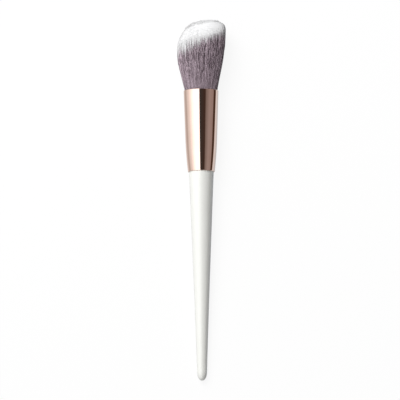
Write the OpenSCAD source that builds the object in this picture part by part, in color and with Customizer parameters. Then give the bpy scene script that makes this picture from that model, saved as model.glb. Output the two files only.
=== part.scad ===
// Angled blush brush. A turned and lacquered handle is glued into a drawn ferrule,
// round at its mouth and pinched to an oval at its rim, which holds a slanted, domed tuft.
// It lies as it comes to rest: the butt and the belly of the tuft touch Z = 0, the tuft
// points along +Y with its long side on +X, and the origin is the middle of its footprint.

/* [Handle] */
// Length of the handle that shows, from its butt to the mouth of the ferrule
handle_len = 105.5; // [95:0.5:125]
// Diameter of the handle where its rounded butt begins
butt_d = 5; // [4.6:0.1:6.4]
// Length of the rounded butt
butt_len = 4.2; // [2.5:0.1:5]
// Hollowness of the taper, where 1 is a straight cone
taper_power = 1.1; // [1:0.05:1.3]
// How far the lacquered end of the handle runs into the ferrule
lacquer_end = 1.5; // [1:0.1:2]
// Thickness of lacquer, which stops at the bare tenon
lacquer_t = 0.15; // [0.1:0.01:0.25]
// Length of handle inside the ferrule, tenon and lacquered end together
tenon_len = 14; // [10:0.5:16]
// Chamfer on the end of the tenon
tenon_chamfer = 0.8; // [0.4:0.1:1.2]

/* [Ferrule] */
// Length of the ferrule, from its mouth to its rim
ferrule_len = 41.5; // [37:0.5:50]
// Outer diameter of the round mouth that grips the handle
mouth_d = 13.5; // [12.6:0.1:14.6]
// Outer width of the oval rim
rim_w = 17.6; // [16.6:0.1:19]
// Outer thickness of the oval rim
rim_t = 14.2; // [13.4:0.1:15.4]
// Thickness of the drawn metal
ferrule_wall = 0.45; // [0.35:0.05:0.6]
// How far the mouth is drawn in from the line of the cone
swage_depth = 0.75; // [0.4:0.05:1]
// Length over which the mouth is drawn in
swage_len = 18; // [12:1:20]
// Edge break at the mouth and at the rim
edge_break = 0.12; // [0.05:0.01:0.15]

/* [Hair] */
// Length of the hair that shows, from the rim to the highest tip
hair_len = 35.5; // [31:0.5:40]
// Width of the head at its fullest
head_w = 25; // [23:0.5:28]
// Thickness of the head at its fullest
head_t = 20; // [18.5:0.5:22]
// How far the head leans towards its long side
head_lean = 0.5; // [0:0.1:1]
// Height of the long shoulder above the short one
tip_slant = 10; // [6:0.5:12]
// Share of that slant that is taken up near the two shoulders
slant_bow = 0.7; // [0.3:0.05:0.8]
// Height of the dome above its shoulders
dome_h = 9; // [8:0.5:11]
// Fullness of the dome, where 2 is an ellipse
dome_power = 2.1; // [2:0.1:2.8]
// Where the outermost hairs end, as a share of the way from the middle to the side
outer_tip = 0.66; // [0.54:0.02:0.84]
// How sharply the hair springs out over the rim
flare_power = 0.95; // [0.7:0.05:1]
// Length of the hair held inside the ferrule
root_len = 13; // [10:0.5:14]
// Number of locks that show round the tuft
lock_count = 90; // [60:2:100]
// Deepest groove between two locks
lock_depth = 0.45; // [0.1:0.05:0.6]

/* [Glue] */
// Depth of the set epoxy under the roots of the hair
epoxy_len = 5; // [3.5:0.5:6]
// Where the handle glue starts, above the mouth
glue_start = 2.2; // [2.1:0.1:3]

/* [Fits] */
// Clearance of the handle in the mouth, and of the glue against what it fills
fit = 0.05; // [0.03:0.01:0.08]
// Clearance of the packed roots inside the ferrule
root_fit = 0.06; // [0.04:0.01:0.1]

/* [Hidden] */

pearl_white = [0.94, 0.94, 0.92];
rose_gold = [0.86, 0.66, 0.59];
hair_mauve = [0.53, 0.47, 0.50];
amber = [0.80, 0.72, 0.52];

ring_steps = 60;
butt_steps = 10;
taper_steps = 24;
ferrule_steps = 12;
glue_steps = 5;
side_steps = 9;
crown_steps = 5;
cap_steps = 5;
lock_seed = 11;

mouth_z = handle_len;
rim_z = mouth_z + ferrule_len;
root_z = rim_z - root_len;
tenon_z = mouth_z + tenon_len;
butt_r = butt_d / 2;
handle_r = mouth_d / 2 - ferrule_wall - fit;
tenon_r = handle_r - lacquer_t;

function mix(a, b, share) = a + (b - a) * share;

// The ferrule's outline: a cone to half the rim's width or thickness, drawn in at the mouth.
function drawn_in(h) = swage_depth * pow(1 - min(h / swage_len, 1), 2);
function ferrule_half(h, rim_half) = mix(mouth_d / 2 + swage_depth, rim_half, h / ferrule_len) - drawn_in(h);

// One oval ring at height h above the mouth, inset from the ferrule's outer face.
function ferrule_ring(h, inset, steps) = [
    for (i = [0:steps - 1])
        let (angle = 360 * i / steps)
        [
            cos(angle) * (ferrule_half(h, rim_w / 2) - inset),
            sin(angle) * (ferrule_half(h, rim_t / 2) - inset),
            mouth_z + h
        ]
];
function round_ring(r, z, steps) = [
    for (i = [0:steps - 1]) [r * cos(360 * i / steps), r * sin(360 * i / steps), z]
];

// Skins a stack of rings that have as many points each, as a tube or between two closed ends.
function band(steps, low, high) = [
    for (i = [0:steps - 1])
        let (j = (i + 1) % steps)
        each [
            [low * steps + i, high * steps + i, high * steps + j],
            [low * steps + i, high * steps + j, low * steps + j]
        ]
];
module closed_tube(rings) {
    steps = len(rings[0]);
    polyhedron(
        points = [for (ring = rings) each ring],
        faces = [for (k = [0:len(rings) - 1]) each band(steps, k, (k + 1) % len(rings))],
        convexity = 4
    );
}
module capped_skin(rings, apex) {
    steps = len(rings[0]);
    top = (len(rings) - 1) * steps;
    peak = len(rings) * steps;
    polyhedron(
        points = concat([for (ring = rings) each ring], [apex]),
        faces = concat(
            [[for (i = [0:steps - 1]) i]],
            [for (k = [0:len(rings) - 2]) each band(steps, k, k + 1)],
            [for (i = [0:steps - 1]) [top + i, peak, top + (i + 1) % steps]]
        ),
        convexity = 4
    );
}

// The handle's radius, from the end of the butt to the mouth.
function taper_r(share) = mix(butt_r, handle_r, pow(share, taper_power));

module handle() {
    butt = [
        for (i = [0:butt_steps])
            let (angle = 90 * i / butt_steps)
            [butt_r * sin(angle), butt_len * (1 - cos(angle))]
    ];
    taper = [
        for (i = [1:taper_steps])
            let (share = i / taper_steps)
            [taper_r(share), mix(butt_len, mouth_z, share)]
    ];
    tenon = [
        [handle_r, mouth_z + lacquer_end],
        [tenon_r, mouth_z + lacquer_end],
        [tenon_r, tenon_z - tenon_chamfer],
        [tenon_r - tenon_chamfer, tenon_z],
        [0, tenon_z]
    ];
    color(pearl_white)
    rotate_extrude($fn = 96)
    polygon(concat(butt, taper, tenon));
}

module ferrule() {
    outer = [
        for (i = [0:ferrule_steps])
            [0, mix(edge_break, ferrule_len - edge_break, pow(i / ferrule_steps, 1.4))]
    ];
    inner = [for (i = [ferrule_steps:-1:0]) [ferrule_wall, outer[i].y]];
    wall = concat(
        [[edge_break, 0]],
        outer,
        [[edge_break, ferrule_len], [ferrule_wall - edge_break, ferrule_len]],
        inner,
        [[ferrule_wall - edge_break, 0]]
    );
    color(rose_gold)
    closed_tube([for (p = wall) ferrule_ring(p.y, p.x, ring_steps)]);
}

// The tuft. u runs across the width, from -1 on the short side to 1 on the long side,
// and r from 0 in the middle to 1 on the outline of the head.
function slant(u) = tip_slant / 2 * mix(u, u * u * u, slant_bow);
function dome_drop(r) = dome_h * (1 - pow(1 - pow(r, dome_power), 1 / dome_power));
peak_gain = max([for (u = [0:0.02:1]) slant(u) - dome_drop(u)]);
middle_z = rim_z + hair_len - peak_gain;
function shoulder_z(u) = middle_z + slant(u) - dome_h;
function flare(s) = pow(sin(90 * s), flare_power);

root_half_w = rim_w / 2 - ferrule_wall - root_fit;
root_half_t = rim_t / 2 - ferrule_wall - root_fit;
function side_half_w(s) = mix(root_half_w, head_w / 2, flare(s));
function side_half_t(s) = mix(root_half_t, head_t / 2, flare(s));

hair_steps = 2 * lock_count;
lock_groove = rands(0.35, 1, lock_count, lock_seed);
function groove(i) = i % 2 == 0 ? 0 : lock_depth * lock_groove[(i - 1) / 2];

// Up the side, s from 0 at the rim to 1 at the shoulder.
function side_ring(s) = [
    for (i = [0:hair_steps - 1])
        let (angle = 360 * i / hair_steps, inset = groove(i) * s)
        [
            head_lean * flare(s) + cos(angle) * (side_half_w(s) - inset),
            sin(angle) * (side_half_t(s) - inset),
            mix(rim_z, shoulder_z(cos(angle)), s)
        ]
];
// Over the crown, where the outermost hairs close in along the dome to their tips.
function crown_height(r) = pow(1 - pow(r, dome_power), 1 / dome_power);
function crown_ring(r) = [
    for (i = [0:hair_steps - 1])
        let (angle = 360 * i / hair_steps, inset = groove(i))
        [
            head_lean + cos(angle) * (r * head_w / 2 - inset * (1 - crown_height(r))),
            sin(angle) * (r * head_t / 2 - inset * (1 - crown_height(r))),
            middle_z + slant(r * cos(angle)) - dome_h * (1 - crown_height(r)) - inset * crown_height(r)
        ]
];
// The dome of tips inside them.
function cap_ring(r) = [
    for (i = [0:hair_steps - 1])
        let (angle = 360 * i / hair_steps)
        [
            head_lean + cos(angle) * r * head_w / 2,
            sin(angle) * r * head_t / 2,
            middle_z + slant(r * cos(angle)) - dome_drop(r) - groove(i) * r / outer_tip
        ]
];

module hair_tuft() {
    crown_rise = crown_height(outer_tip);
    roots = [for (h = [root_z - mouth_z, ferrule_len]) ferrule_ring(h, ferrule_wall + root_fit, hair_steps)];
    sides = [for (i = [1:side_steps]) side_ring(i / side_steps)];
    crown = [
        for (i = [1:crown_steps])
            crown_ring(pow(1 - pow(crown_rise * i / crown_steps, dome_power), 1 / dome_power))
    ];
    cap = [for (i = [cap_steps - 1:-1:1]) cap_ring(outer_tip * i / cap_steps)];
    color(hair_mauve)
    capped_skin(concat(roots, sides, crown, cap), [head_lean, 0, middle_z]);
}

module root_epoxy() {
    base = root_z - mouth_z - epoxy_len;
    inset = ferrule_wall + fit;
    color(amber)
    capped_skin([for (h = [base, base + epoxy_len]) ferrule_ring(h, inset, ring_steps)], [0, 0, root_z]);
}

module handle_glue() {
    top = tenon_len - tenon_chamfer;
    heights = [for (i = [0:glue_steps]) mix(glue_start, top, i / glue_steps)];
    outer = [for (h = heights) ferrule_ring(h, ferrule_wall + fit, ring_steps)];
    inner = [for (h = [top, glue_start]) round_ring(tenon_r + fit, mouth_z + h, ring_steps)];
    color(amber)
    closed_tube(concat(outer, inner));
}

// How it lies: tilted until the butt and the fullest part underneath both touch the table.
ferrule_under = [for (h = [0:1:ferrule_len]) [mouth_z + h, ferrule_half(h, rim_t / 2)]];
tuft_under = [for (s = [0:0.02:1]) [mix(rim_z, shoulder_z(0), s), side_half_t(s)]];
rest_tilt = max([for (p = concat(ferrule_under, tuft_under)) atan2(p.y - butt_r, p.x - butt_len)]);
table_drop = butt_r * cos(rest_tilt) - butt_len * sin(rest_tilt);

reach_y = max([
    for (r = [0:0.05:1])
        for (angle = [0:6:354])
            let (z = middle_z + slant(r * cos(angle)) - dome_drop(r))
            r * sin(angle) * head_t / 2 * sin(rest_tilt) + z * cos(rest_tilt)
]);

module lay_down() {
    translate([-head_lean, -reach_y / 2, table_drop])
    rotate([rest_tilt - 90, 0, 0])
    children();
}

lay_down() handle();
lay_down() ferrule();
lay_down() hair_tuft();
lay_down() root_epoxy();
lay_down() handle_glue();
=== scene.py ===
# %% [markdown]
# # An angled blush brush
# Five pieces make this brush: a turned wooden handle under pearl lacquer, a drawn metal
# ferrule, a slanted tuft of two-tone filaments, and two fillings of resin that hold both in
# the ferrule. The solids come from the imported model. This lesson dresses them: it gives the
# handle and the ferrule smooth skins and real finishes, and grows the tuft from filaments.

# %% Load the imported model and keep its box
import math

import bmesh
import bpy
from mathutils import Matrix, Vector


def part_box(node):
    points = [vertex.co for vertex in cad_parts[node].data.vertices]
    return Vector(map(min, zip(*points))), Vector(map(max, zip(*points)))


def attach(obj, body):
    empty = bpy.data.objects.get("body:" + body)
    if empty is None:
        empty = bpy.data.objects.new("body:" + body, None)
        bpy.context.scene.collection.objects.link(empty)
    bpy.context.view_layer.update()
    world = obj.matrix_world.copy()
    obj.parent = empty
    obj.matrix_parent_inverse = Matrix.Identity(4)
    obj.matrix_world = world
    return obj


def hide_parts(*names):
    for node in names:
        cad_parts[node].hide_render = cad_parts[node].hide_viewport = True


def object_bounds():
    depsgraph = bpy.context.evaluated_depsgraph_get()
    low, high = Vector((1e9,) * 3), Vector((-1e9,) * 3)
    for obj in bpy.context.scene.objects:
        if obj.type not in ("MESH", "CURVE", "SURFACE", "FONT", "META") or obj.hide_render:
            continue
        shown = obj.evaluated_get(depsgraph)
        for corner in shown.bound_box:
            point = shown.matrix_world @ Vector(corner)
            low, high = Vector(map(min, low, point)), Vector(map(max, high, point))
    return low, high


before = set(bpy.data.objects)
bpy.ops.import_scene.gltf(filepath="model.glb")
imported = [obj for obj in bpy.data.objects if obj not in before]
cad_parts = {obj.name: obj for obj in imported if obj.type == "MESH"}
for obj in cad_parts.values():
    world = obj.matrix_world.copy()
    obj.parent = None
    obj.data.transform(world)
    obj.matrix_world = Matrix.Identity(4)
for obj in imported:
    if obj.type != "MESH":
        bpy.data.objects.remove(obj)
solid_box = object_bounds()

print("nodes", sorted(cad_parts))
print("solid box", [tuple(round(value, 4) for value in corner) for corner in solid_box])

# %% [markdown]
# ## The sizes of the brush
# The skins must lie exactly on the solids, so the brush's own sizes are written once here,
# in metres. Along the brush, heights are counted from the butt of the handle. The brush
# lies down tilted a little, because its butt is thinner than its tuft, and one matrix
# carries every piece from this upright frame to where the solids lie.

# %% Name the sizes
mm = 0.001
handle_len = 105.5 * mm
butt_d = 5 * mm
butt_len = 4.2 * mm
taper_power = 1.1
ferrule_len = 41.5 * mm
mouth_d = 13.5 * mm
rim_w = 17.6 * mm
rim_t = 14.2 * mm
ferrule_wall = 0.45 * mm
swage_depth = 0.75 * mm
swage_len = 18 * mm
handle_fit = 0.05 * mm
root_fit = 0.06 * mm
rim_z = handle_len + ferrule_len

hair = {
    "Hair length": 35.5 * mm,
    "Head width": 25 * mm,
    "Head thickness": 20 * mm,
    "Head lean": 0.5 * mm,
    "Tip slant": 10 * mm,
    "Slant bow": 0.7,
    "Dome height": 9 * mm,
    "Dome power": 2.1,
    "Outer tip": 0.66,
    "Flare power": 0.95,
    "Root width": rim_w - 2 * ferrule_wall - 2 * root_fit,
    "Root thickness": rim_t - 2 * ferrule_wall - 2 * root_fit,
}


def slant(u):
    bow = hair["Slant bow"]
    return hair["Tip slant"] / 2 * (u * (1 - bow) + u ** 3 * bow)


def dome_drop(r):
    power = hair["Dome power"]
    return hair["Dome height"] * (1 - (1 - r ** power) ** (1 / power))


shares = [step / 50 for step in range(51)]
peak_gain = max(slant(share) - dome_drop(share) for share in shares)
middle_z = rim_z + hair["Hair length"] - peak_gain
print("middle of the dome at", round(middle_z / mm, 2), "mm from the butt")

# %% [markdown]
# ## How the brush lies
# A brush that is put down touches the table with its butt and with the belly of its tuft.
# The solids were laid down so, and the skins have to follow them exactly. The tilt is found
# as it was for the solids: it is the steepest line from the butt to any place on the side of
# the tuft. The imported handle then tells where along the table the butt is.

# %% Find the tilt and the matrix that lays a piece down
def side_half_t(share):
    flare = math.sin(math.pi / 2 * share) ** hair["Flare power"]
    root, head = hair["Root thickness"] / 2, hair["Head thickness"] / 2
    return root + (head - root) * flare


def slope_to(share):
    shoulder_mid = middle_z - hair["Dome height"]
    along = rim_z + (shoulder_mid - rim_z) * share - butt_len
    return math.atan2(side_half_t(share) - butt_d / 2, along)


rest_tilt = max(slope_to(share) for share in shares)
lift = butt_d / 2 * math.cos(rest_tilt) - butt_len * math.sin(rest_tilt)
butt_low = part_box("handle")[0]
lay_down = (
    Matrix.Translation(Vector((-hair["Head lean"], butt_low.y, lift)))
    @ Matrix.Rotation(rest_tilt - math.pi / 2, 4, "X")
)
print("tilt at rest", round(math.degrees(rest_tilt), 2), "degrees")

# %% [markdown]
# ## Writing a rule in nodes
# Geometry Nodes hold formulas as chains of Math nodes, which are slow to read when each
# node is placed by hand. A small class lets a formula be written as on paper: every + or *
# between two amounts adds the Math node that does it.

# %% Let amounts in a node tree add, multiply and raise
class Amount:
    def __init__(self, tree, socket):
        self.tree, self.socket = tree, socket

    def through(self, operation, *others):
        node = self.tree.nodes.new("ShaderNodeMath")
        node.operation = operation
        for socket, value in zip(node.inputs, (self, *others)):
            if isinstance(value, Amount):
                self.tree.links.new(value.socket, socket)
            else:
                socket.default_value = value
        return Amount(self.tree, node.outputs[0])

    def __add__(self, other):
        return self.through("ADD", other)

    def __radd__(self, other):
        return self + other

    def __sub__(self, other):
        return self.through("SUBTRACT", other)

    def __rsub__(self, other):
        return (self * -1) + other

    def __mul__(self, other):
        return self.through("MULTIPLY", other)

    def __rmul__(self, other):
        return self * other

    def __truediv__(self, other):
        return self.through("DIVIDE", other)

    def __pow__(self, other):
        return self.through("POWER", other)

    def at_least(self, other):
        return self.through("MAXIMUM", other)

    def at_most(self, other):
        return self.through("MINIMUM", other)

    def over(self, other):
        return self.through("GREATER_THAN", other)


def blend(start, end, share):
    return (end - start) * share + start


def smooth(share):
    share = share.at_least(0).at_most(1)
    return share * share * (3 - share * 2)


print("amounts can be added, multiplied, raised, blended and smoothed")


# %% Place and join nodes
def node_in(tree, kind, **settings):
    node = tree.nodes.new(kind)
    for name, value in settings.items():
        setattr(node, name, value)
    return node


def feed(tree, socket, value):
    if isinstance(value, Amount):
        tree.links.new(value.socket, socket)
    elif isinstance(value, bpy.types.NodeSocket):
        tree.links.new(value, socket)
    else:
        socket.default_value = value


def vector_of(tree, x, y, z):
    node = node_in(tree, "ShaderNodeCombineXYZ")
    for socket, value in zip(node.inputs, (x, y, z)):
        feed(tree, socket, value)
    return node.outputs[0]


def parts_of(tree, vector):
    node = node_in(tree, "ShaderNodeSeparateXYZ")
    feed(tree, node.inputs[0], vector)
    return [Amount(tree, output) for output in node.outputs]


print("nodes can be placed and fed, and vectors joined and parted")


# %% [markdown]
# ## From a tree to a piece
# Every piece that follows a rule is made alike. A tree starts with its sizes as named inputs,
# so each size can be changed without looking for it among the nodes. An empty object carries
# the tree as a modifier and is evaluated once. What comes out is a plain mesh, which is laid
# down like the solids and rides on the brush's one body.

# %% Start a geometry tree whose sizes are named inputs
def start_tree(name, sizes):
    tree = bpy.data.node_groups.new(name, "GeometryNodeTree")
    tree.interface.new_socket("Geometry", in_out="OUTPUT", socket_type="NodeSocketGeometry")
    for label, value in sizes.items():
        kind = "NodeSocketInt" if isinstance(value, int) else "NodeSocketFloat"
        if isinstance(value, bpy.types.Material):
            kind = "NodeSocketMaterial"
        tree.interface.new_socket(label, in_out="INPUT", socket_type=kind)
    entry = tree.nodes.new("NodeGroupInput")
    size = {
        label: Amount(tree, entry.outputs[label]) if isinstance(value, float) else entry.outputs[label]
        for label, value in sizes.items()
    }
    return tree, size


print("a tree takes its sizes as named inputs")


# %% Grow a tree into a plain mesh that lies where the solids lie
def grow(name, tree, sizes, body="root"):
    host = bpy.data.objects.new(name + "_host", bpy.data.meshes.new(name + "_host"))
    bpy.context.scene.collection.objects.link(host)
    modifier = host.modifiers.new("grow", "NODES")
    modifier.node_group = tree
    for item in tree.interface.items_tree:
        if item.in_out == "INPUT":
            modifier[item.identifier] = sizes[item.name]
    ready = host.evaluated_get(bpy.context.evaluated_depsgraph_get())
    mesh = bpy.data.meshes.new_from_object(ready)
    mesh.transform(lay_down)
    mesh.name = name
    bpy.data.objects.remove(host)
    piece = bpy.data.objects.new(name, mesh)
    bpy.context.scene.collection.objects.link(piece)
    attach(piece, body)
    triangles = sum(len(face.vertices) - 2 for face in mesh.polygons)
    print(name, "has", triangles, "triangles")
    return piece


print("an upright piece is turned by", round(90 - math.degrees(rest_tilt), 2), "degrees to lie down")

# %% [markdown]
# ## What the finishes share
# Each real surface varies a little in colour, in shine and in relief. Noise on Object
# coordinates gives all three, and stays fixed to the piece from every side. Coordinates are
# in metres, so the scale of a noise is about the number of its spots along one metre.

# %% Start a finish and give it noise, colours and relief
def new_finish(name):
    material = bpy.data.materials.new(name)
    material.use_nodes = True
    tree = material.node_tree
    return material, tree, tree.nodes["Principled BSDF"]


def object_place(tree, stretch=(1, 1, 1), turn=(0, 0, 0)):
    place = node_in(tree, "ShaderNodeTexCoord")
    mapping = node_in(tree, "ShaderNodeMapping")
    mapping.inputs["Scale"].default_value = stretch
    mapping.inputs["Rotation"].default_value = turn
    tree.links.new(place.outputs["Object"], mapping.inputs["Vector"])
    return mapping.outputs[0]


def noise_at(tree, place, scale, detail=2.0):
    node = node_in(tree, "ShaderNodeTexNoise")
    tree.links.new(place, node.inputs["Vector"])
    node.inputs["Scale"].default_value = scale
    node.inputs["Detail"].default_value = detail
    return Amount(tree, node.outputs[0])


def ramp_of(tree, amount, stops):
    node = node_in(tree, "ShaderNodeValToRGB")
    elements = node.color_ramp.elements
    while len(elements) < len(stops):
        elements.new(0.5)
    for element, (place, colour) in zip(elements, stops):
        element.position = place
        element.color = (*colour, 1)
    feed(tree, node.inputs[0], amount)
    return node.outputs[0]


def bump_from(tree, height, depth, strength):
    node = node_in(tree, "ShaderNodeBump")
    node.inputs["Distance"].default_value = depth
    node.inputs["Strength"].default_value = strength
    feed(tree, node.inputs["Height"], height)
    return node.outputs[0]


print("a finish starts with a Principled shader")

# %% [markdown]
# ## Finish of the handle: pearl lacquer
# The birch is filled, sprayed with a white base coat that carries fine pearl flakes, and
# closed with a clear gloss coat. Two layers of the Principled shader do the same: a satin
# base whose white drifts a little, and a coat on top with its own small roughness. The spray
# leaves faint dimples, which are the bump.

# %% Mix the pearl lacquer
pearl, tree, shader = new_finish("pearl_lacquer")
place = object_place(tree)
clouds_per_m, flakes_per_m, dimples_per_m = 60, 2600, 420
dimple_depth = 0.006 * mm
cloud = noise_at(tree, place, clouds_per_m)
flake = noise_at(tree, place, flakes_per_m, 1.0)
drift = cloud * 0.4 + flake * 0.6
pearl_shade, pearl_light = (0.83, 0.834, 0.795), (0.88, 0.884, 0.85)
feed(tree, shader.inputs["Base Color"], ramp_of(tree, drift, [(0.3, pearl_shade), (0.7, pearl_light)]))
feed(tree, shader.inputs["Roughness"], flake * 0.12 + 0.36)
spray = noise_at(tree, place, dimples_per_m)
feed(tree, shader.inputs["Normal"], bump_from(tree, spray, dimple_depth, 0.4))
shader.inputs["Coat Weight"].default_value = 0.6
shader.inputs["Coat Roughness"].default_value = 0.22
shader.inputs["Coat IOR"].default_value = 1.5
print("mixed", pearl.name)

# %% [markdown]
# ## Finish of the ferrule: rose gold
# The aluminium tube is drawn, polished and plated, so it is a mirror with a pink body
# colour. What shows it is what it reflects. The drawing die leaves hair-fine lines along
# the tube, which a noise stretched along the brush gives as a slight bump.

# %% Mix the rose gold
rose_gold, tree, shader = new_finish("rose_gold")
lines_per_m, line_stretch, hazes_per_m = 3200, 0.02, 140
line_depth = 0.002 * mm
place = object_place(tree, stretch=(1, line_stretch, 1), turn=(-rest_tilt, 0, 0))
drawn = noise_at(tree, place, lines_per_m, 3.0)
haze = noise_at(tree, object_place(tree), hazes_per_m)
gold_shade, gold_light = (0.82, 0.61, 0.52), (0.84, 0.635, 0.55)
feed(tree, shader.inputs["Base Color"], ramp_of(tree, haze, [(0.35, gold_shade), (0.65, gold_light)]))
feed(tree, shader.inputs["Roughness"], haze * 0.03 + drawn * 0.04 + 0.03)
feed(tree, shader.inputs["Normal"], bump_from(tree, drawn, line_depth, 0.5))
shader.inputs["Metallic"].default_value = 1
print("mixed", rose_gold.name)

# %% [markdown]
# ## Finish of the hair: two-tone filament
# Each filament is a mauve grey synthetic hair whose last few millimetres are left white.
# The dye line is set by a length from the tip, not by a height, so it follows the slant of
# the tuft and is ragged where tips are. Attributes that the tuft's tree stores on the mesh
# carry it: "dye" from 0 at the white tip to 1, "shade" for light or dark filaments, which
# also holds a painted shade on the body between the hairs and a painted backlight on the
# narrow sides, and "bundle", which says where round the tuft and how high on it a point is.
# Noise on "bundle", stretched along the hairs, gives long streaks, short streaks and a fine
# grain that follow them, and the zero line of a coarser noise gives painted shade: thin dark
# partings between locks, where shade falls between them. The shift says which stretch of the
# noise is used. Streaks fade towards the ferrule, where the hairs are packed.

# %% Mix the filament
filament, tree, shader = new_finish("two_tone_filament")
dye = node_in(tree, "ShaderNodeAttribute", attribute_name="dye")
shade = node_in(tree, "ShaderNodeAttribute", attribute_name="shade")
tone = Amount(tree, dye.outputs["Fac"])
bundle = node_in(tree, "ShaderNodeAttribute", attribute_name="bundle")
round_u, round_v, height_share = parts_of(tree, bundle.outputs["Vector"])
streak_shift = 9.4
parting_sharpness, parting_shade_depth = 14, 0.15
rim_contrast = 0.35


def streaks(scale, length):
    place = vector_of(tree, round_u, round_v, height_share * length + streak_shift)
    return noise_at(tree, place, scale, 1.0) - 0.5


def either(tree, share, at_none, at_full):
    node = node_in(tree, "ShaderNodeMix", data_type="RGBA")
    feed(tree, node.inputs["Factor"], share)
    feed(tree, node.inputs[6], at_none)
    feed(tree, node.inputs[7], at_full)
    return node.outputs[2]


long_streak = streaks(scale=70, length=0.05) * 2.0
short_streak = streaks(scale=85, length=0.15) * 3.0
grain = streaks(scale=95, length=0.8) * 2.2
# painted shade: thin dark lines along the partings between locks, where shade falls between them
lock_edge = streaks(scale=24, length=0.1).through("ABSOLUTE")
painted_parting_shade = (1 - smooth(lock_edge * parting_sharpness)) * parting_shade_depth
contrast = blend(rim_contrast, 1, smooth(height_share * 2.5))
streaked = (long_streak + short_streak + grain - painted_parting_shade) * contrast
light = (Amount(tree, shade.outputs["Fac"]) + streaked).at_least(0).at_most(1)
deep_mauve, mauve, pale_mauve = (0.075, 0.053, 0.064), (0.268, 0.208, 0.24), (0.58, 0.465, 0.53)
white_shade, white_light = (0.82, 0.82, 0.825), (0.85, 0.85, 0.855)
body_colour = ramp_of(tree, light, [(0, deep_mauve), (0.5, mauve), (1, pale_mauve)])
tip_colour = ramp_of(tree, light, [(0, white_shade), (1, white_light)])
feed(tree, shader.inputs["Base Color"], either(tree, tone, tip_colour, body_colour))
shader.inputs["Roughness"].default_value = 0.5
shader.inputs["Specular IOR Level"].default_value = 0.35
print("mixed", filament.name)

# %% [markdown]
# ## The handle
# A handle like this is turned on a lathe from one dowel, thin at the butt and hollowed a
# little along its taper. The lathe's own way is the simplest in Blender too: half of the
# outline is spun round the axis, and the doubled seam and poles are merged. Inside the
# ferrule the lacquer stops at a step, and a bare, chamfered tenon goes on.

# %% Draw half of the handle's outline
lacquer_t = 0.15 * mm
lacquer_end = 1.5 * mm
tenon_len = 14 * mm
tenon_chamfer = 0.8 * mm
butt_steps, taper_steps = 16, 48
handle_r = mouth_d / 2 - ferrule_wall - handle_fit
profile = []
for step in range(butt_steps + 1):
    angle = math.pi / 2 * step / butt_steps
    profile.append((butt_d / 2 * math.sin(angle), butt_len * (1 - math.cos(angle))))
for step in range(1, taper_steps + 1):
    share = step / taper_steps
    radius = butt_d / 2 + (handle_r - butt_d / 2) * share ** taper_power
    profile.append((radius, butt_len + (handle_len - butt_len) * share))
tenon_r = handle_r - lacquer_t
tenon_z = handle_len + tenon_len
profile += [
    (handle_r, handle_len + lacquer_end),
    (tenon_r, handle_len + lacquer_end),
    (tenon_r, tenon_z - tenon_chamfer),
    (tenon_r - tenon_chamfer, tenon_z),
    (0, tenon_z),
]
print("the outline has", len(profile), "corners")

# %% Turn the handle
weld = 0.001 * mm
sharp_above = math.radians(40)


def turned(name, profile, sides=96):
    shape = bmesh.new()
    corners = [shape.verts.new((radius, 0, height)) for radius, height in profile]
    line = [shape.edges.new(pair) for pair in zip(corners, corners[1:])]
    bmesh.ops.spin(shape, geom=corners + line, cent=(0, 0, 0), axis=(0, 0, 1), angle=math.tau, steps=sides)
    bmesh.ops.remove_doubles(shape, verts=shape.verts, dist=weld)
    bmesh.ops.recalc_face_normals(shape, faces=shape.faces)
    bmesh.ops.transform(shape, matrix=lay_down, verts=shape.verts)
    mesh = bpy.data.meshes.new(name)
    shape.to_mesh(mesh)
    shape.free()
    mesh.shade_smooth()
    mesh.set_sharp_from_angle(angle=sharp_above)
    piece = bpy.data.objects.new(name, mesh)
    bpy.context.scene.collection.objects.link(piece)
    print(name, "has", len(mesh.polygons), "faces")
    return piece


handle_skin = turned("handle_skin", profile)
handle_skin.data.materials.append(pearl)
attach(handle_skin, "root")
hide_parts("handle")

# %% [markdown]
# ## The ferrule
# The tube starts round, is drawn to a cone, pressed in at the mouth where it grips the
# handle, and pinched to an oval at the rim. That is a rule, so a grid is rolled up by it:
# one side of the grid runs round the tube, the other runs up the outside, over the rim and
# down the inside. The ends of both are merged, which closes the wall.

# %% Name the ferrule's sizes
ferrule_sizes = {
    "Length": ferrule_len,
    "Mouth radius": mouth_d / 2,
    "Rim half width": rim_w / 2,
    "Rim half thickness": rim_t / 2,
    "Wall": ferrule_wall,
    "Swage depth": swage_depth,
    "Swage length": swage_len,
    "Mouth height": handle_len,
    "Finish": rose_gold,
}
print("the ferrule's wall is", round(ferrule_wall / mm, 2), "mm thick")


# %% Lay out a grid, merge it and paint it
def rolled_grid(tree, around, along):
    grid = node_in(tree, "GeometryNodeMeshGrid")
    grid.inputs["Size X"].default_value = 1
    grid.inputs["Size Y"].default_value = 1
    grid.inputs["Vertices X"].default_value = around
    grid.inputs["Vertices Y"].default_value = along
    across, up, _ = parts_of(tree, node_in(tree, "GeometryNodeInputPosition").outputs[0])
    return grid.outputs["Mesh"], (across + 0.5) * math.tau, up + 0.5


def merged_in(tree, geometry):
    node = node_in(tree, "GeometryNodeMergeByDistance")
    node.inputs["Distance"].default_value = weld
    tree.links.new(geometry, node.inputs["Geometry"])
    return node.outputs[0]


def close_and_paint(tree, geometry, finish):
    for kind in ("GeometryNodeSetShadeSmooth", "GeometryNodeRealizeInstances", "GeometryNodeSetMaterial"):
        node = node_in(tree, kind)
        tree.links.new(geometry, node.inputs["Geometry"])
        geometry = node.outputs[0]
    tree.links.new(finish, node.inputs["Material"])
    leave = node_in(tree, "NodeGroupOutput")
    tree.links.new(geometry, leave.inputs["Geometry"])


def moved_to(tree, geometry, place):
    node = node_in(tree, "GeometryNodeSetPosition")
    tree.links.new(geometry, node.inputs["Geometry"])
    tree.links.new(place, node.inputs["Position"])
    return node.outputs[0]


def leg_of(walk, start, length):
    return ((walk - start) / length).at_least(0).at_most(1)


print("a grid can be rolled, moved, merged and painted")

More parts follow.
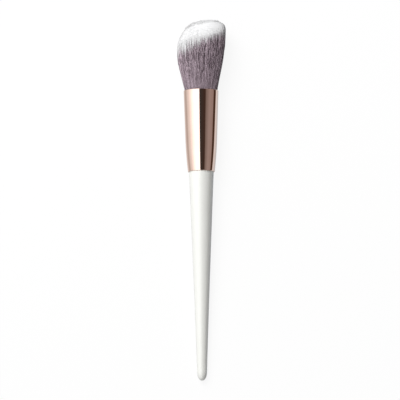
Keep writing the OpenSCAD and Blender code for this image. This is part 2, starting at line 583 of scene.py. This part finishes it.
# %% [markdown]
# ## The walk over the wall
# The second side of the grid is a walk of four legs: up the outside, over the rim, down the
# inside and back under the mouth. Each wall takes four tenths of it and each rounded edge
# one tenth, so that the edges get enough faces to look round. "leg_of" tells how much of one
# leg is done.

# %% Roll the grid up over the wall and close it
tree, size = start_tree("ferrule_loft", ferrule_sizes)
geometry, turn, walk = rolled_grid(tree, around=145, along=101)
wall_leg, edge_leg = 0.4, 0.1
rim_starts, rim_ends, mouth_starts = 0.4, 0.5, 0.9
lip = size["Wall"] * 0.5
outside = leg_of(walk, 0, wall_leg)
over_rim = leg_of(walk, rim_starts, edge_leg) * math.pi
inside = leg_of(walk, rim_ends, wall_leg)
under_mouth = leg_of(walk, mouth_starts, edge_leg) * math.pi
climb = lip + (size["Length"] - lip * 2) * (outside - inside)
climb = climb + lip * (over_rim.through("SINE") - under_mouth.through("SINE"))
inset = lip * (under_mouth.through("COSINE") - over_rim.through("COSINE"))
open_share = 1 - (climb / size["Swage length"]).at_most(1)
drawn_in = size["Swage depth"] * open_share * open_share + inset
foot = size["Mouth radius"] + size["Swage depth"]
half_w = blend(foot, size["Rim half width"], climb / size["Length"]) - drawn_in
half_t = blend(foot, size["Rim half thickness"], climb / size["Length"]) - drawn_in
place = vector_of(
    tree, turn.through("COSINE") * half_w, turn.through("SINE") * half_t, climb + size["Mouth height"]
)
close_and_paint(tree, merged_in(tree, moved_to(tree, geometry, place)), size["Finish"])
ferrule_skin = grow("ferrule_skin", tree, ferrule_sizes)
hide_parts("ferrule")

# %% [markdown]
# ## Resin inside the ferrule
# Epoxy is poured behind the roots of the hair, and a sleeve of glue holds the tenon. Both
# are hidden, but they keep a real finish: clear amber resin with a soft shine.

# %% Pour the resin
resin, tree, shader = new_finish("amber_resin")
swirls_per_m = 300
swirl = noise_at(tree, object_place(tree), swirls_per_m)
amber_shade, amber_light = (0.60, 0.43, 0.20), (0.72, 0.56, 0.30)
feed(tree, shader.inputs["Base Color"], ramp_of(tree, swirl, [(0.3, amber_shade), (0.7, amber_light)]))
feed(tree, shader.inputs["Roughness"], swirl * 0.2 + 0.15)
for name in ("root_epoxy", "handle_glue"):
    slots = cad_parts[name].data.materials
    slots.clear()
    slots.append(resin)
    print("poured", name)

# %% [markdown]
# ## How a filament runs
# The roots are packed tight in the ferrule's oval. From the rim they spring outwards up to
# the shoulder, and above it they lean in again, so that all tips together make a slanted
# dome. One rule gives the place of any filament at any height: "u" and "v" say where in the
# bundle it stands, from -1 to 1 across the width and the thickness. Filaments spring out a
# little later than the solid tuft does, and lean less, by 0.3 mm at most.

# %% Size the filaments' tuft
tuft_form = {
    **hair,
    "Head lean": 0.28 * mm,
    "Head width": 24.85 * mm,
    "Flare power": 1.15,
    "Rim height": rim_z,
    "Middle height": middle_z,
}
print("the filaments' head is", round(tuft_form["Head width"] / mm, 2), "mm wide")

# %% [markdown]
# ## One rule for the place, the white and the facing
# "at" gives a filament's place. "longer_left" says how long the white is across the width: it
# is longest left of the middle and shortest right of it. "facing" says which way the tuft as
# a whole faces there. It is made flatter across than the real form, because light passes
# through hair and evens out its two sides. Two small numbers keep powers and divisions away
# from zero on the axis.

# %% Write the rule that every hair follows
off_axis = 0.001
off_zero = 0.0001
white_across, white_across_rise, dyed_across = 0.5, 0.3, 0.43
white_along = 0.7


def longer_left(u):
    return 1 - u * 0.61 + u * u * 0.11 + u * u * u * 0.62


def slant_of(size, u):
    return size["Tip slant"] * 0.5 * u * (size["Slant bow"] * (u * u - 1) + 1)


class Strand:
    def __init__(self, size, u, v):
        self.size, self.u, self.v = size, u, v
        self.spread = (u * u + v * v) ** 0.5
        self.root_power = size["Dome power"] ** -1
        shoulder = size["Middle height"] - size["Dome height"] + slant_of(size, u)
        self.side = shoulder - size["Rim height"]
        tip = self.spread.at_least(off_axis) * size["Outer tip"]
        self.crown = (1 - tip ** size["Dome power"]) ** self.root_power
        self.whole = self.side + size["Dome height"] * self.crown

    def at(self, climb):
        size, u, v = self.size, self.u, self.v
        share = (climb / self.side).at_least(0).at_most(1)
        flare = (share * (math.pi / 2)).through("SINE").at_least(off_zero) ** size["Flare power"]
        beyond = ((climb - self.side) / size["Dome height"]).at_least(0)
        rise = beyond.at_most(self.crown)
        reach = (rise / self.crown) ** size["Dome power"]
        draw = (1 - reach * (1 - size["Outer tip"] ** size["Dome power"])) ** self.root_power
        half_w = blend(size["Root width"], size["Head width"], flare) * 0.5
        half_t = blend(size["Root thickness"], size["Head thickness"], flare) * 0.5
        x = size["Head lean"] * flare + u * draw * half_w
        y = v * draw * half_t
        z = size["Rim height"] + self.side * share + slant_of(size, u * draw) - slant_of(size, u)
        return x, y, z + size["Dome height"] * beyond

    def facing(self, climb, dye):
        size, u, v = self.size, self.u, self.v
        rise = ((climb - self.side) / size["Dome height"]).at_least(0).at_most(1)
        draw = (1 - rise ** size["Dome power"]).at_least(0) ** self.root_power
        along = rise * 0.5 / size["Dome height"]
        across = u * draw / size["Head width"] - along * (size["Tip slant"] / size["Head width"])
        across = across * blend(white_across + rise * white_across_rise, dyed_across, dye)
        return across, v * draw / size["Head thickness"], along * blend(white_along, 1, dye)


print("one rule gives the place and the facing of every hair")

# %% [markdown]
# ## The body of the tuft
# A real tuft is filaments all the way through. Only the outer ones and the tips can be seen,
# so the middle is one closed body that runs by the same rule, just under them. It is a grid
# again: a bottom disc, a side, and a top that stays a little below the tips. Under the white
# tips the body swells until it almost reaches the outer hairs. Thousands of white hairs that
# shade each other look speckled, while the real dome of tips looks smooth, so most of the
# white that is seen is this body, with hairs lying on it and standing out of it.

# %% Name the body's sizes and find its places
dye_line = {"White length": 7.7 * mm, "Dye fade": 3 * mm}
body_sizes = {**tuft_form, **dye_line, "Spread": 0.88, "Below the tips": 0.3 * mm, "Finish": filament}
tree, size = start_tree("tuft_body", body_sizes)
geometry, turn, walk = rolled_grid(tree, around=97, along=61)
bottom_leg, side_leg, top_leg = 0.06, 0.7, 0.24
swell_starts, swell_leg, white_spread = 0.5, 0.14, 0.98
full = blend(size["Spread"], white_spread, smooth((walk - swell_starts) / swell_leg))
spread = full * (walk / bottom_leg).at_most(1) * ((1 - walk) / top_leg).at_most(1)
spread = spread.at_least(off_axis / 2)
strand = Strand(size, turn.through("COSINE") * spread, turn.through("SINE") * spread)
top = strand.whole - size["Below the tips"]
climb = top * leg_of(walk, bottom_leg, side_leg)
body_places = vector_of(tree, *strand.at(climb))
print("the body stays", round(body_sizes["Below the tips"] / mm, 2), "mm below the tips")

# %% [markdown]
# ## Attributes and soft shading
# The finish needs to know the dye line and the shade at each point, so the tree stores them
# on the mesh under names. It also stores the facing. Mixing the mesh's own normals with that
# makes a piece look soft without changing its shape.

# %% Store the attributes and roll up the body
def stored(tree, geometry, name, amount, data_type="FLOAT"):
    node = node_in(tree, "GeometryNodeStoreNamedAttribute", data_type=data_type, domain="POINT")
    node.inputs["Name"].default_value = name
    tree.links.new(geometry, node.inputs["Geometry"])
    feed(tree, node.inputs["Value"], amount)
    return node.outputs[0]


def unit_of(tree, vector):
    node = node_in(tree, "ShaderNodeVectorMath", operation="NORMALIZE")
    tree.links.new(vector, node.inputs[0])
    return node.outputs[0]


def soft_shaded(tree, geometry, softness):
    form = node_in(tree, "GeometryNodeInputNamedAttribute", data_type="FLOAT_VECTOR")
    form.inputs["Name"].default_value = "facing"
    mixed = node_in(tree, "ShaderNodeMix", data_type="VECTOR")
    feed(tree, mixed.inputs[0], softness)
    tree.links.new(node_in(tree, "GeometryNodeInputNormal").outputs[0], mixed.inputs[4])
    tree.links.new(unit_of(tree, form.outputs[0]), mixed.inputs[5])
    shaded = node_in(tree, "GeometryNodeSetMeshNormal", mode="FREE", domain="POINT")
    tree.links.new(geometry, shaded.inputs["Mesh"])
    tree.links.new(unit_of(tree, mixed.outputs[1]), shaded.inputs["Custom Normal"])
    return shaded.outputs[0]


body_dye_lag = 1 * mm
# painted shade: the body between the hairs gets a dark shade, so the gaps between them look deep
painted_gap_shade = 0.1
white_length = size["White length"] * longer_left(strand.u)
dye = smooth((strand.whole - climb - white_length - body_dye_lag) / size["Dye fade"])
geometry = stored(tree, geometry, "dye", dye)
geometry = stored(tree, geometry, "shade", painted_gap_shade)
geometry = stored(tree, geometry, "facing", vector_of(tree, *strand.facing(climb, dye)), "FLOAT_VECTOR")
geometry = merged_in(tree, moved_to(tree, geometry, body_places))
close_and_paint(tree, soft_shaded(tree, geometry, 1.0), size["Finish"])
tuft_body = grow("tuft_body", tree, body_sizes)

# %% [markdown]
# ## The filaments
# Roots are scattered evenly over a disc, which stands for the cut through the bundle. On
# each root stands a straight line, and the rule bends the lines into hairs. Noise that is
# the same for neighbours gathers them into locks, and a little chance of each hair's own
# parts them again. The disc is cut to a ring between two edges, so that each layer of the
# coat has roots of its own.

# %% Scatter the roots and stand a line on each
disc_corners = 128
crowding = 1.6


def roots_of(tree, size):
    disc = node_in(tree, "GeometryNodeMeshCircle", fill_type="NGON")
    disc.inputs["Vertices"].default_value = disc_corners
    disc.inputs["Radius"].default_value = 1
    scatter = node_in(tree, "GeometryNodeDistributePointsOnFaces", distribute_method="POISSON")
    tree.links.new(disc.outputs[0], scatter.inputs["Mesh"])
    feed(tree, scatter.inputs["Distance Min"], size["Spacing"])
    feed(tree, scatter.inputs["Density Max"], (size["Spacing"] ** -2) * crowding)
    feed(tree, scatter.inputs["Seed"], size["Seed"])
    x, y, _ = parts_of(tree, node_in(tree, "GeometryNodeInputPosition").outputs[0])
    spread = (x * x + y * y) ** 0.5
    outside = (spread.over(size["Outer edge"]) + (1 - spread.over(size["Inner edge"]))).over(0.5)
    trim = node_in(tree, "GeometryNodeDeleteGeometry", domain="POINT")
    tree.links.new(scatter.outputs["Points"], trim.inputs["Geometry"])
    feed(tree, trim.inputs["Selection"], outside)
    return trim.outputs[0]


def lines_on(tree, size, roots):
    line = node_in(tree, "GeometryNodeCurvePrimitiveLine")
    line.inputs["End"].default_value = (0, 0, 1)
    resample = node_in(tree, "GeometryNodeResampleCurve")
    tree.links.new(line.outputs[0], resample.inputs["Curve"])
    feed(tree, resample.inputs["Count"], size["Points along"])
    stand = node_in(tree, "GeometryNodeInstanceOnPoints")
    tree.links.new(roots, stand.inputs["Points"])
    tree.links.new(resample.outputs[0], stand.inputs["Instance"])
    real = node_in(tree, "GeometryNodeRealizeInstances")
    tree.links.new(stand.outputs[0], real.inputs["Geometry"])
    return real.outputs[0]


print("roots fill a disc of", disc_corners, "corners")


# %% Give each hair its own chance, and neighbours a shared one
def chance_of(tree, size, draw):
    node = node_in(tree, "FunctionNodeRandomValue", data_type="FLOAT")
    which = node_in(tree, "GeometryNodeCurveOfPoint")
    tree.links.new(which.outputs["Curve Index"], node.inputs["ID"])
    feed(tree, node.inputs["Seed"], Amount(tree, size["Seed"]) + draw)
    return Amount(tree, node.outputs[1])


def shared_drift(tree, u, v, climb, scale):
    node = node_in(tree, "ShaderNodeTexNoise")
    tree.links.new(vector_of(tree, u, v, climb), node.inputs["Vector"])
    node.inputs["Scale"].default_value = scale
    node.inputs["Detail"].default_value = 1
    return [part - 0.5 for part in parts_of(tree, node.outputs["Color"])]


print("each hair can draw its own chance, or share one with its neighbours")


# %% [markdown]
# ## Locks
# Hairs of a brush don't stand evenly: neighbours cling together in locks about a millimetre
# across, with thin dark gaps between. A Voronoi texture divides the cut through the bundle
# in such cells. Each hair is drawn a little towards the middle of its own cell, most of all
# half way up, and the cell's colour gives all its hairs one shade and one length.

# %% Find the lock that each hair belongs to
def lock_of(tree, size, u, v):
    flatness = hair["Head thickness"] / hair["Head width"]
    node = node_in(tree, "ShaderNodeTexVoronoi", voronoi_dimensions="2D")
    tree.links.new(vector_of(tree, u, v * flatness, 0.0), node.inputs["Vector"])
    feed(tree, node.inputs["Scale"], size["Locks across"])
    middle_u, middle_v, _ = parts_of(tree, node.outputs["Position"])
    chances = [part - 0.5 for part in parts_of(tree, node.outputs["Color"])]
    return middle_u - u, middle_v / flatness - v, chances


print("a lock has a middle and three chances")

# %% Name the sizes of the filaments
hair_sizes = {
    **tuft_form,
    **dye_line,
    "Inner edge": 0.0,
    "Outer edge": 1.0,
    "Spacing": 0.0105,
    "Modelled length": 80 * mm,
    "Thickness": 0.13 * mm,
    "Uneven length": 0.035,
    "Locks across": 15.0,
    "Lock pull": 0.12,
    "Lock lean": 0.25 * mm,
    "Wander": 0.2 * mm,
    "Crimp depth": 0.08 * mm,
    "Crimp length": 14 * mm,
    "Form shading": 0.7,
    "Sides": 3,
    "Points along": 19,
    "Seed": 3,
    "Finish": filament,
}
print("a filament is", round(hair_sizes["Thickness"] / mm, 2), "mm thick")

# %% Start the filament tree and find how high each point stands
tree, size = start_tree("tuft_filaments", hair_sizes)
geometry = lines_on(tree, size, roots_of(tree, size))
u, v, run = parts_of(tree, node_in(tree, "GeometryNodeInputPosition").outputs[0])
strand = Strand(size, u, v)
toward_u, toward_v, lock = lock_of(tree, size, u, v)
length_offset = 0.3
unevenness = chance_of(tree, size, 11) - lock[2] - length_offset
own_length = strand.whole * (1 - unevenness * size["Uneven length"])
below_tip = own_length.at_most(size["Modelled length"]) * (1 - run)
climb = own_length - below_tip
x, y, z = strand.at(climb)
height_share = climb / strand.whole
round_u = u / strand.spread.at_least(off_axis)
round_v = v / strand.spread.at_least(off_axis)
print("the tree knows how high each point stands")

# %% [markdown]
# ## How far a hair strays
# At the rim the hairs are held fast, so they get loose only higher up. Near the tips they are
# cupped, pressed together by the maker's mould, and run even again. In between each hair is
# pulled to the middle of its lock, leans with it, waves a little in its crimp, and wanders by
# a chance of its own.

# %% Draw the hairs to their locks and let each wander
drift_length, drift_scale = 0.35, 20
loosening = 1.8
cup_speed, cup_starts, cup_hold = 4, 2.2, 0.95
fine = shared_drift(tree, round_u, round_v, height_share * drift_length, drift_scale)
loose = smooth(height_share * loosening)
cupped = 1 - smooth(height_share * cup_speed - cup_starts) * cup_hold
pull = size["Lock pull"] * 0.5 * loose * cupped


def crimp_along(axis):
    own_start = chance_of(tree, size, 51 + axis) * 0.3
    waves = climb / size["Crimp length"] + lock[axis] * 2 + own_start
    return (waves * math.tau).through("SINE")


crimp = [crimp_along(axis) for axis in (0, 1)]
own = [chance_of(tree, size, draw) - 0.5 for draw in (21, 22)]
offset = [
    toward * pull * size[width]
    + (lock[axis] + fine[axis]) * size["Lock lean"] * loose * cupped
    + own[axis] * size["Wander"] * height_share * height_share
    + crimp[axis] * size["Crimp depth"] * loose * cupped
    for axis, (toward, width) in enumerate([(toward_u, "Head width"), (toward_v, "Head thickness")])
]
place = vector_of(tree, x + offset[0], y + offset[1], z)
print("hairs stray by their lock, their crimp and their own wander")

# %% [markdown]
# ## Colour and facing of a hair
# The dye line is ragged, because each hair, each lock and each neighbourhood slipped a little
# after the bundle was dyed. Hairs differ in shade in the same way. On the two narrow sides of
# the tuft the hairs get a painted backlight: their shade is made lighter, which stands in for
# light that comes through them from behind there. All of this is stored before the lines are
# bent. The normals of the lines are set after it, when a point's position is its real place
# in metres, which still points outwards from the axis.

# %% Store the dye line, the shade and the way the tuft faces
own_slip, lock_slip, shared_slip = 0.5, 0.12, 0.45
own_shade, lock_shade = 0.5, 0.06
backlight_speed, backlight_starts, painted_backlight = 5, 3.8, 0.3
raggedness = 1 + (chance_of(tree, size, 31) - 0.5) * own_slip + lock[1] * lock_slip + fine[2] * shared_slip
dye = smooth((below_tip - size["White length"] * longer_left(u) * raggedness) / size["Dye fade"])
# painted backlight: the hairs' shade is raised on the two narrow sides of the tuft
painted_backlight_mask = smooth(round_u.through("ABSOLUTE") * backlight_speed - backlight_starts) * loose
shade = 0.5 + (chance_of(tree, size, 41) - 0.5) * own_shade + lock[0] * lock_shade
shade = shade + painted_backlight_mask * painted_backlight
facing = unit_of(tree, vector_of(tree, *strand.facing(climb, dye)))
outward = unit_of(tree, vector_of(tree, u / size["Head width"], v / size["Head thickness"], off_zero))
geometry = stored(tree, geometry, "dye", dye)
geometry = stored(tree, geometry, "shade", shade.at_least(0).at_most(1))
geometry = stored(tree, geometry, "facing", facing, "FLOAT_VECTOR")
bundle = vector_of(tree, round_u, round_v, height_share)
geometry = stored(tree, geometry, "bundle", bundle, "FLOAT_VECTOR")
geometry = moved_to(tree, geometry, place)
turned_out = node_in(tree, "GeometryNodeSetCurveNormal", mode="FREE")
tree.links.new(geometry, turned_out.inputs["Curve"])
tree.links.new(outward, turned_out.inputs["Normal"])
geometry = turned_out.outputs[0]
print("each hair carries its dye, its shade, its facing and its place in the bundle")

# %% [markdown]
# ## From lines to hairs
# Each line gets a thin body of three or five sides, of one thickness from root to tip.
# Thousands of thin bodies shade like gravel if each is lit by its own turned sides, while a
# real tuft is soft, because light passes through its hairs. So each hair's shading normal is
# mixed with the way that the whole tuft faces there, and almost wholly so at the white tips.

# %% Give the lines a body and soften its shading
tip_softness = 0.28
section = node_in(tree, "GeometryNodeCurvePrimitiveCircle")
feed(tree, section.inputs["Resolution"], size["Sides"])
section.inputs["Radius"].default_value = 1
flat_out = node_in(tree, "GeometryNodeTransform")
tree.links.new(section.outputs[0], flat_out.inputs["Geometry"])
turn_half_side = Amount(tree, size["Sides"]) ** -1 * math.pi
tree.links.new(vector_of(tree, 0.0, 0.0, turn_half_side), flat_out.inputs["Rotation"])
skin = node_in(tree, "GeometryNodeCurveToMesh")
tree.links.new(geometry, skin.inputs["Curve"])
tree.links.new(flat_out.outputs[0], skin.inputs["Profile Curve"])
feed(tree, skin.inputs["Scale"], size["Thickness"] * 0.5)
skin.inputs["Fill Caps"].default_value = True
mesh_dye = node_in(tree, "GeometryNodeInputNamedAttribute", data_type="FLOAT")
mesh_dye.inputs["Name"].default_value = "dye"
softness = size["Form shading"] + (1 - Amount(tree, mesh_dye.outputs[0])) * tip_softness
close_and_paint(tree, soft_shaded(tree, skin.outputs[0], softness), size["Finish"])
print("filament tree has", len(tree.nodes), "nodes")

# %% [markdown]
# ## The coat in three layers
# Nobody can model every hair of a brush, and nobody needs to. The outer hairs and those just
# under them are grown from root to tip. Further in only the ends can be seen, so the inner
# hairs are short, have five sides, and wander more. Each layer has its own seed, and stays
# under 200,000 triangles.

# %% Grow the coat in layers
layers = {
    "hair_outer": {"Inner edge": 0.93, "Outer edge": 0.99, "Seed": 3},
    "hair_under": {"Inner edge": 0.84, "Outer edge": 0.93, "Seed": 4, "Points along": 15, "Spacing": 0.012},
    "hair_tips": {
        "Outer edge": 0.84,
        "Seed": 5,
        "Modelled length": 7 * mm,
        "Sides": 5,
        "Points along": 4,
        "Spacing": 0.0135,
        "Wander": 0.7 * mm,
    },
}
coat = [grow(name, tree, {**hair_sizes, **layer}) for name, layer in layers.items()]
for piece in [tuft_body, *coat]:
    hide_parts("hair_tuft")

# %% [markdown]
# ## The table
# The brush lies on a white table, which keeps a soft shadow. To the camera the table is
# plain white. Polished metal needs edges to read as metal, so a photographer sets grey cards
# beside it and a dark one further out on the right. Here the table itself shows such cards,
# by its own X coordinate and to mirror rays only, so the picture doesn't see them. Each card
# is written as its place in millimetres from the middle and its colour. For the light that
# bounces off it the table is a mid grey, so the shaded side of the handle stays dark.

# %% Write down the cards
def along_x(stops, reach):
    return [((x / reach + 1) / 2, colour) for x, *colour in stops]


cards_reach = 200
cards_along_x = along_x([
    (-200, 0.88, 0.88, 0.88),
    (-79, 0.8, 0.8, 0.8),
    (-45, 0.6, 0.59, 0.57),
    (-27, 0.55, 0.53, 0.51),
    (-18, 0.72, 0.72, 0.72),
    (-12, 0.9, 0.9, 0.9),
    (12, 0.6, 0.64, 0.67),
    (20, 0.7, 0.76, 0.8),
    (34, 0.88, 0.92, 0.94),
    (46, 0.6, 0.58, 0.56),
    (58, 0.07, 0.04, 0.026),
], cards_reach)
print("the cards have", len(cards_along_x), "stops")

# %% Mix the table's two looks
table_white, tree, shader = new_finish("white_table")
tree.nodes.remove(shader)
table_out = next(node for node in tree.nodes if node.type == "OUTPUT_MATERIAL")
path = node_in(tree, "ShaderNodeLightPath")
to_camera = Amount(tree, path.outputs["Is Camera Ray"])
to_mirror = Amount(tree, path.outputs["Is Glossy Ray"])
through_glass = Amount(tree, path.outputs["Is Transmission Ray"])
seen = (to_camera + to_mirror + through_glass).at_most(1)
across, _, _ = parts_of(tree, object_place(tree))
cards = ramp_of(tree, across / (2 * cards_reach * mm) + 0.5, cards_along_x)
plain_white = (1, 1, 1, 1)
bounce_grey, paper_white = (0.5, 0.5, 0.5), (0.94, 0.94, 0.94)
glow_share = 0.9
paper = node_in(tree, "ShaderNodeBsdfDiffuse")
feed(tree, paper.inputs["Color"], ramp_of(tree, seen, [(0, bounce_grey), (1, paper_white)]))
plain = node_in(tree, "ShaderNodeEmission")
feed(tree, plain.inputs["Color"], either(tree, to_mirror, plain_white, cards))
joined = node_in(tree, "ShaderNodeMixShader")
feed(tree, joined.inputs[0], (seen * glow_share).at_least(to_mirror))
feed(tree, joined.inputs[1], paper.outputs[0])
feed(tree, joined.inputs[2], plain.outputs[0])
feed(tree, table_out.inputs["Surface"], joined.outputs[0])
print("mixed", table_white.name)

# %% Lay the table
table_reach = 3
shape = bmesh.new()
bmesh.ops.create_grid(shape, x_segments=1, y_segments=1, size=table_reach)
table_mesh = bpy.data.meshes.new("table")
shape.to_mesh(table_mesh)
shape.free()
table_mesh.materials.append(table_white)
table = bpy.data.objects.new("table", table_mesh)
bpy.context.scene.collection.objects.link(table)
print("the table reaches", round(max(corner.co.x for corner in table_mesh.vertices), 2), "m each way")

# %% [markdown]
# ## What the metal reflects
# Polished metal shows the studio round it, so the studio is painted on the world by the
# angle round the brush, in degrees from overhead, with the left below zero: a bright softbox
# on the left that fades to white low down, a dark screen overhead and a little to the right,
# and a dim, warm wall on the right that is dark at its foot.

# %% Paint what mirrors see
world = bpy.data.worlds.new("studio")
bpy.context.scene.world = world
world.use_nodes = True
tree = world.node_tree
sky = node_in(tree, "ShaderNodeTexCoord")
east, north, up = parts_of(tree, sky.outputs["Generated"])
round_brush = east.through("ARCTAN2", up) / math.tau + 0.5


def angle_stops(stops):
    return [((degrees + 180) / 360, colour) for degrees, *colour in stops]


mirrored = ramp_of(tree, round_brush, angle_stops([
    (-100, 0.88, 0.88, 0.88),
    (-88, 0.9, 0.9, 0.9),
    (-80, 1.0, 1.0, 1.0),
    (-67, 1.3, 1.3, 1.3),
    (-55, 1.6, 1.6, 1.6),
    (-42, 1.9, 1.9, 1.9),
    (-10.8, 1.9, 1.9, 1.9),
    (-8.8, 0.045, 0.044, 0.043),
    (24, 0.058, 0.034, 0.025),
    (28, 0.21, 0.175, 0.16),
    (51, 0.37, 0.32, 0.31),
    (80, 0.33, 0.27, 0.257),
    (84, 0.07, 0.04, 0.026),
    (100, 0.07, 0.04, 0.026),
]))
print("the mirrored studio has", len(tree.nodes), "nodes")

# %% [markdown]
# ## What lights the brush
# The light that falls on the brush needs no edges. It is brightest from the left up to
# overhead, fades towards the horizon, and is weak on the right, which rounds the handle. A
# light wall stands beyond the butt, nearer on the left, and keeps the low end of the brush
# from going dark. The camera itself sees plain white.

# %% Paint what lights the brush, and join the three looks
lit = ramp_of(tree, round_brush, angle_stops([
    (-120, 0.2, 0.2, 0.2),
    (-90, 0.45, 0.45, 0.45),
    (-60, 0.6, 0.6, 0.6),
    (-10, 0.6, 0.6, 0.6),
    (10, 0.18, 0.18, 0.18),
    (50, 0.14, 0.14, 0.14),
    (80, 0.03, 0.03, 0.03),
    (120, 0.03, 0.03, 0.03),
]))
wall_white = (0.8, 0.8, 0.8, 1)
wall_facing_butt, wall_facing_left, wall_edge = -3, 1.5, 2
on_front_wall = smooth(north * wall_facing_butt - east * wall_facing_left - wall_edge)
path = node_in(tree, "ShaderNodeLightPath")
lighting = either(tree, on_front_wall, lit, wall_white)
mirror_or_light = either(tree, path.outputs["Is Glossy Ray"], lighting, mirrored)
studio = either(tree, path.outputs["Is Camera Ray"], mirror_or_light, plain_white)
feed(tree, tree.nodes["Background"].inputs["Color"], studio)
print("the whole studio has", len(tree.nodes), "nodes")

# %% [markdown]
# ## The lamp
# One large softbox hangs high on the left, beyond the tips. It draws the soft shadow on the
# table and models the tuft. Mirror rays don't see it, because the world already shows them a
# softbox with the edges that the metal needs.

# %% Hang the lamp
lamp = bpy.data.lights.new("softbox", "AREA")
lamp.shape = "RECTANGLE"
lamp.size, lamp.size_y = 0.5, 0.8
lamp.energy = 8.95
softbox = bpy.data.objects.new("softbox", lamp)
softbox.location = (-0.35, 0.47, 0.8)
softbox.rotation_euler = (-softbox.location).to_track_quat("-Z", "Y").to_euler()
softbox.visible_glossy = False
bpy.context.scene.collection.objects.link(softbox)
print("the softbox hangs", round(softbox.location.length, 2), "m away")

# %% [markdown]
# ## The camera
# The photograph looks down on the brush, almost from straight above. A product photographer
# takes a long lens from far away, so that both ends of the brush are seen at one scale. The
# distance follows from the width that the picture shows.

# %% Set the camera over the brush
middle = (Vector(solid_box[0]) + Vector(solid_box[1])) / 2
off_middle = Vector((-1.22, -0.67, 0)) * mm
aim = middle + off_middle
elevation = math.radians(79)
lean_in_view = math.radians(-0.207)
shown_width = 200.8 * mm
lens = bpy.data.cameras.new("camera")
lens.lens = 400
lens.sensor_width = 36
distance = shown_width / 2 / math.tan(lens.angle / 2)
toward = Vector((0, -math.cos(elevation), math.sin(elevation)))
camera = bpy.data.objects.new("camera", lens)
camera.location = aim + toward * distance
look = (-toward).to_track_quat("-Z", "Y").to_matrix().to_4x4()
camera.rotation_euler = (look @ Matrix.Rotation(lean_in_view, 4, "Z")).to_euler()
lens.clip_start = 0.01
bpy.context.scene.collection.objects.link(camera)
bpy.context.scene.camera = camera
bpy.context.scene.view_settings.view_transform = "Standard"
print("camera at", [round(value, 3) for value in camera.location], "distance", round(distance, 3))
